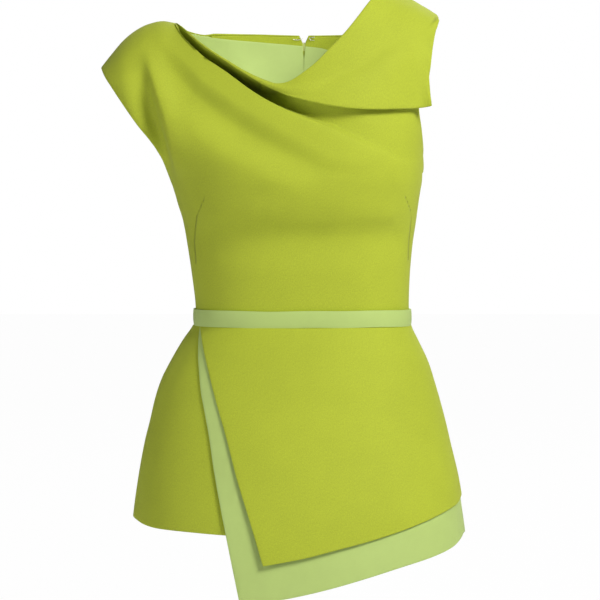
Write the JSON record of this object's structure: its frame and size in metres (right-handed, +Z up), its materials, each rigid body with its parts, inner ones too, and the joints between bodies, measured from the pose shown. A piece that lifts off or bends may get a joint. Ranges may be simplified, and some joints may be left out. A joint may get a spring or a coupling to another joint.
{
  "type": "peplum top",
  "caption": "Draped asymmetric top with a grown-on cap sleeve, a folded collar flap over the other shoulder, a narrow belt and a wrapped peplum, zipped at the back.",
  "frame": {"origin": "midway between the shoulders, in the plane of the side seams, at the level where the wearer's shoulders hold the top, 355 mm above the waist line", "axes": "+Z up, -Y the way the front faces, +X towards the wearer's left"},
  "size_m": [0.4363, 0.3116, 0.7216],
  "materials": {
    "lime_crepe": "matt crepe with a fine pebbled grain, yellow-green",
    "mint_satin": "smooth satin-backed crepe with a soft sheen, pale mint green",
    "zip_tape": "woven zip tape dyed to the crepe",
    "zip_metal": "zip slider and tab, enamelled to match the crepe",
    "hook_wire": "plain steel hook and eye"
  },
  "bodies": {
    "garment": {"bodice_front": "lime_crepe", "bodice_back_left": "lime_crepe", "bodice_back_right": "lime_crepe", "collar": "lime_crepe", "belt": "mint_satin", "peplum_overlay": "lime_crepe", "peplum_underlay": "mint_satin", "peplum_side_panel": "lime_crepe", "peplum_back_left": "lime_crepe", "peplum_back_right": "lime_crepe", "back_facing_left": "lime_crepe", "back_facing_right": "lime_crepe", "back_lining_left": "mint_satin", "back_lining_right": "mint_satin", "zip_tape": "zip_tape", "zip_slider": "zip_metal", "hook": "hook_wire", "eye": "hook_wire"},
    "pull_tab": {"pull_tab": "zip_metal"}
  },
  "joints": [
    {"name": "pull_tab_swing", "type": "hinge", "parent": "garment", "child": "pull_tab", "pos_m": [0.003, 0.09195, -0.024], "axis": [1, 0, 0], "range_deg": [0, 140]}
  ]
}
